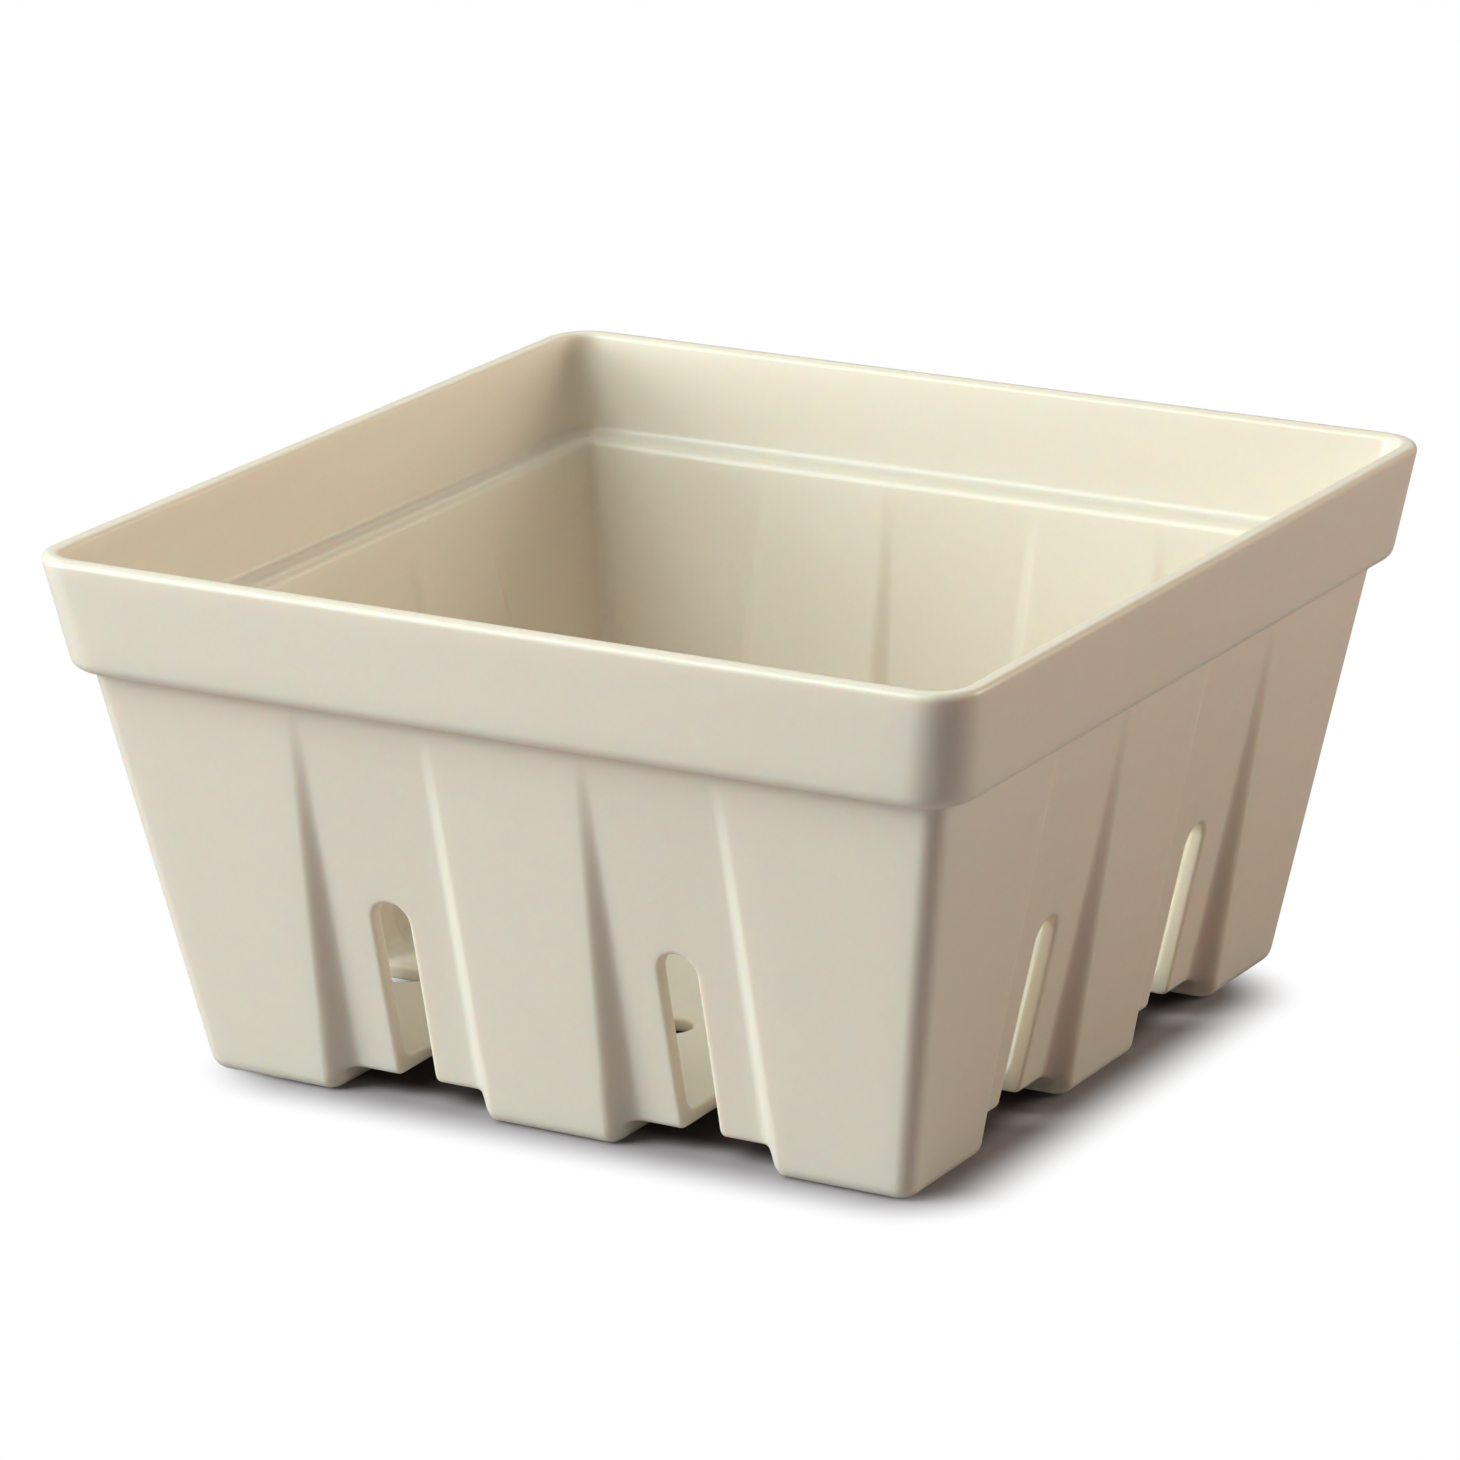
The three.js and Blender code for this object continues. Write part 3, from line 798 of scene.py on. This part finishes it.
# %% Colours and finish
CREAM = "#E7E2D3"
CREAM_WARM = "#E5DDCB"
PLASTIC_IOR = 1.5
GLOSS_SHARP = 0.29  # roughness where the mould was polished best
GLOSS_SOFT = 0.35  # and where it was duller
FLOW_SIZE = 60 * MM  # size of the patches that the melt left
RIPPLE_SIZE = 9 * MM  # spacing of the mould's ripple
RIPPLE_HEIGHT = 0.01 * MM
GRAIN_SIZE = 0.9 * MM  # fine texture of the skin, drawn coarser than the real one so that it shows
GRAIN_HEIGHT = 0.0012 * MM
SCATTER = 0.7  # share of the light that enters the plastic
SCATTER_DEPTH = 2.5 * MM
SCATTER_COLOURS = (1.0, 0.5, 0.25)  # how far red, green and blue light travel, as shares of that depth


def linear(text):
    """sRGB hex colour to the linear red, green, blue and alpha that the shader works with."""
    values = np.array([int(text[i : i + 2], 16) for i in (1, 3, 5)]) / 255
    values = np.where(values <= 0.04045, values / 12.92, ((values + 0.055) / 1.055) ** 2.4)
    return (*values.tolist(), 1.0)


def add_node(tree, kind, inputs=(), **settings):
    """Adds a node with its settings; each input is a value, or another node's output to link."""
    node = tree.nodes.new(kind)
    for name, value in settings.items():
        setattr(node, name, value)
    for name, value in dict(inputs).items():
        if isinstance(value, bpy.types.NodeSocket):
            tree.links.new(value, node.inputs[name])
        else:
            node.inputs[name].default_value = value
    return node


print("cream in linear light:", [round(value, 3) for value in linear(CREAM)[:3]])


# %% Plastic
def cream_moulded_plastic():
    """Satin cream plastic: drifting colour and gloss, ripple and grain as bump, light scattered inside."""
    material = bpy.data.materials.new("cream_moulded_plastic")
    material.use_nodes = True
    tree = material.node_tree
    tree.nodes.clear()
    place = add_node(tree, "ShaderNodeTexCoord").outputs["Object"]
    flow = add_node(tree, "ShaderNodeTexNoise", {"Vector": place, "Scale": 1 / FLOW_SIZE, "Detail": 2.0})
    colour = add_node(
        tree,
        "ShaderNodeMix",
        {"Factor": flow.outputs["Fac"], "A": linear(CREAM), "B": linear(CREAM_WARM)},
        data_type="RGBA",
    )
    gloss = add_node(
        tree,
        "ShaderNodeMapRange",
        {"Value": flow.outputs["Fac"], "To Min": GLOSS_SHARP, "To Max": GLOSS_SOFT},
    )
    waves = {"Vector": place, "Scale": 1 / RIPPLE_SIZE, "Detail": 0.0}
    ripple = add_node(tree, "ShaderNodeTexNoise", waves).outputs["Fac"]
    specks = {"Vector": place, "Scale": 1 / GRAIN_SIZE, "Detail": 1.0}
    grain = add_node(tree, "ShaderNodeTexNoise", specks).outputs["Fac"]
    rippled = add_node(tree, "ShaderNodeBump", {"Height": ripple, "Distance": RIPPLE_HEIGHT})
    grained = add_node(
        tree,
        "ShaderNodeBump",
        {"Height": grain, "Distance": GRAIN_HEIGHT, "Normal": rippled.outputs["Normal"]},
    )
    shader = add_node(
        tree,
        "ShaderNodeBsdfPrincipled",
        {
            "Base Color": colour.outputs["Result"],
            "Roughness": gloss.outputs["Result"],
            "Normal": grained.outputs["Normal"],
            "IOR": PLASTIC_IOR,
            "Subsurface Weight": SCATTER,
            "Subsurface Radius": SCATTER_COLOURS,
            "Subsurface Scale": SCATTER_DEPTH,
        },
    )
    add_node(tree, "ShaderNodeOutputMaterial", {"Surface": shader.outputs["BSDF"]})
    return material


basket.data.materials.append(cream_moulded_plastic())
print("plastic:", CREAM, "to", CREAM_WARM, "roughness", GLOSS_SHARP, "to", GLOSS_SOFT)

# %% [markdown]
# ## The table and the white background
#
# The photograph has a pure white ground, with a shadow that is almost black under the basket and ends
# close to the feet. The table is a sheet that takes light as paper does. Its colour is grey, and under the
# basket it carries a painted shadow: a dark part that fades out to the grey, where the lamps alone would
# leave too much light between the feet. For rays that come straight from the camera it turns to plain
# white as it leaves the basket, so no edge or horizon shows. Nothing here is metal or glass, so no other
# rays need to see that white. From below the table is clear, and it stops no lamp's light, so that the
# feet can be looked at.

# %% Table paper
TABLE_HALF = 0.6  # metres
TABLE_DROP = 0.02 * MM  # just under the feet, so that no two faces lie in one plane
TABLE_COLOUR = "#A09A9D"
# painted shadow: the dark paper colour under the basket, and the dark part sized below, stand in for shade
# between the feet
PAINTED_SHADOW_COLOUR = "#4A4140"  # under the basket
SHADOW_CENTRE = (4 * MM, -5.5 * MM, 0)  # of the dark part, which lies more to the right and in front
SHADOW_HALF = (44 * MM, 39.5 * MM, 0)  # half the dark part's width and depth
SHADOW_INSET = 6 * MM  # from the edge of the dark part out to where the table is plain grey
FADE_WIDTH = 12.5 * MM  # and from there out to plain white


def paper_table_with_painted_shadow():
    """Paper from a painted shadow, dark under the basket, to grey and, for camera rays, on to white, by its
    distance out from a rectangle.
    """
    material = bpy.data.materials.new("paper_table_painted_shadow")
    material.use_nodes = True
    tree = material.node_tree
    tree.nodes.clear()
    place = add_node(tree, "ShaderNodeTexCoord").outputs["Object"]
    centred = add_node(tree, "ShaderNodeVectorMath", {0: place, 1: SHADOW_CENTRE}, operation="SUBTRACT")
    across = add_node(tree, "ShaderNodeVectorMath", {0: centred.outputs[0]}, operation="ABSOLUTE")
    past = {0: across.outputs[0], 1: SHADOW_HALF}
    past = add_node(tree, "ShaderNodeVectorMath", past, operation="SUBTRACT").outputs[0]
    beyond = add_node(tree, "ShaderNodeVectorMath", {0: past, 1: (0, 0, 0)}, operation="MAXIMUM")
    distance = add_node(tree, "ShaderNodeVectorMath", {0: beyond.outputs[0]}, operation="LENGTH")
    distance = distance.outputs["Value"]
    lighter = add_node(
        tree,
        "ShaderNodeMapRange",
        {"Value": distance, "From Max": SHADOW_INSET},
        interpolation_type="SMOOTHSTEP",
    )
    fade = add_node(
        tree,
        "ShaderNodeMapRange",
        {"Value": distance, "From Min": SHADOW_INSET, "From Max": SHADOW_INSET + FADE_WIDTH},
        interpolation_type="SMOOTHSTEP",
    )
    rays = add_node(tree, "ShaderNodeLightPath")
    seen = {0: fade.outputs["Result"], 1: rays.outputs["Is Camera Ray"]}
    seen = add_node(tree, "ShaderNodeMath", seen, operation="MULTIPLY").outputs["Value"]
    # painted shadow: the paper's colour runs from dark under the basket out to plain grey
    grey = add_node(
        tree,
        "ShaderNodeMix",
        {"Factor": lighter.outputs["Result"], "A": linear(PAINTED_SHADOW_COLOUR), "B": linear(TABLE_COLOUR)},
        data_type="RGBA",
    )
    paper = add_node(tree, "ShaderNodeBsdfDiffuse", {"Color": grey.outputs["Result"]}).outputs["BSDF"]
    white = add_node(tree, "ShaderNodeEmission").outputs["Emission"]
    sheet = add_node(tree, "ShaderNodeMixShader", {0: seen, 1: paper, 2: white}).outputs["Shader"]
    clear = add_node(tree, "ShaderNodeBsdfTransparent").outputs["BSDF"]
    below = add_node(tree, "ShaderNodeNewGeometry").outputs["Backfacing"]
    passing = {0: below, 1: rays.outputs["Is Shadow Ray"]}
    passing = add_node(tree, "ShaderNodeMath", passing, operation="MAXIMUM").outputs["Value"]
    both = add_node(tree, "ShaderNodeMixShader", {0: passing, 1: sheet, 2: clear}).outputs["Shader"]
    add_node(tree, "ShaderNodeOutputMaterial", {"Surface": both})
    return material


white_from = round((SHADOW_INSET + FADE_WIDTH) / MM, 1)
print("the table is plain white from", white_from, "mm outside its dark part")

# %% Table
table_corners = [(-1, -1), (1, -1), (1, 1), (-1, 1)]
table_mesh = bpy.data.meshes.new("table")
table_points = [(x * TABLE_HALF, y * TABLE_HALF, -TABLE_DROP) for x, y in table_corners]
table_mesh.from_pydata(table_points, [], [(0, 1, 2, 3)])
table_mesh.materials.append(paper_table_with_painted_shadow())
table = bpy.data.objects.new("table", table_mesh)
bpy.context.scene.collection.objects.link(table)
print("table", 2 * TABLE_HALF, "m across")

# %% [markdown]
# ## Studio light
#
# Two soft boxes stand to the left, one low and one high, so their light only grazes the front wall: a
# flute's side that turns away from them goes dark, and the side that turns to them shows a light line.
# The high one also reaches over the rim to the inner back wall, which is the brightest of all. A small
# lamp above and a wide one behind draw light lines along the lip and the shelf, and a warm one behind the
# right-hand wall keeps that shaded wall from going black. A weak lamp below reaches only the underside.
# The levels are plain ones, at which the cream shows about as it is written.

# %% Lamps
LAMP_DISTANCE = 1.5  # metres
AIM = Vector((0, 0, 35 * MM))
LAMPS = [
    # name, degrees from the front wall to the right, degrees up, width and height in metres, watts, colour
    ("soft_box_low", -52, 15, 0.67, 0.67, 15.5, "#F7FDFF"),
    ("soft_box_high", -36, 42, 0.9, 0.9, 14.5, "#F0FCFF"),
    ("lamp_above", -20, 72, 0.67, 0.67, 4.5, "#FCFAF2"),
    ("lamp_right", 129, 17, 0.67, 0.67, 11, "#FFF4E6"),
    ("lamp_behind", 210, 40, 1.5, 1.2, 7, "#F6FAF2"),
    ("lamp_below", 0, -90, 1.5, 1.5, 3, "#FFFFFF"),
]


def soft_lamp(name, azimuth, elevation, width, height, power, colour):
    """Rectangular soft box that looks at the basket from a direction given as the camera's is."""
    azimuth, elevation = np.radians([azimuth, elevation])
    level = Vector((np.sin(azimuth), -np.cos(azimuth), 0))
    towards = level * np.cos(elevation) + Vector((0, 0, np.sin(elevation)))
    data = bpy.data.lights.new(name, "AREA")
    data.shape = "RECTANGLE"
    data.size, data.size_y = width, height
    data.energy = power
    data.color = linear(colour)[:3]
    lamp = bpy.data.objects.new(name, data)
    lamp.location = AIM + towards * LAMP_DISTANCE
    lamp.rotation_euler = towards.to_track_quat("Z", "Y").to_euler()
    bpy.context.scene.collection.objects.link(lamp)


for lamp in LAMPS:
    soft_lamp(*lamp)
print("lamps:", [lamp[0] for lamp in LAMPS])

# %% World
FILL_COLOUR = "#FFE9D6"
FILL_STRENGTH = 0.03


def studio_world():
    """Weak warm fill from all round; white where the camera looks straight at it."""
    world = bpy.data.worlds.new("studio")
    world.use_nodes = True
    tree = world.node_tree
    tree.nodes.clear()
    seen = add_node(tree, "ShaderNodeLightPath").outputs["Is Camera Ray"]
    fill = add_node(tree, "ShaderNodeBackground", {"Color": linear(FILL_COLOUR), "Strength": FILL_STRENGTH})
    white = add_node(tree, "ShaderNodeBackground", {"Color": linear("#FFFFFF")})
    shown = {0: seen, 1: fill.outputs["Background"], 2: white.outputs["Background"]}
    mixed = add_node(tree, "ShaderNodeMixShader", shown)
    add_node(tree, "ShaderNodeOutputWorld", {"Surface": mixed.outputs["Shader"]})
    return world


bpy.context.scene.world = studio_world()
bpy.context.scene.view_settings.view_transform = "Standard"
print("fill from all round:", FILL_COLOUR, "at strength", FILL_STRENGTH)
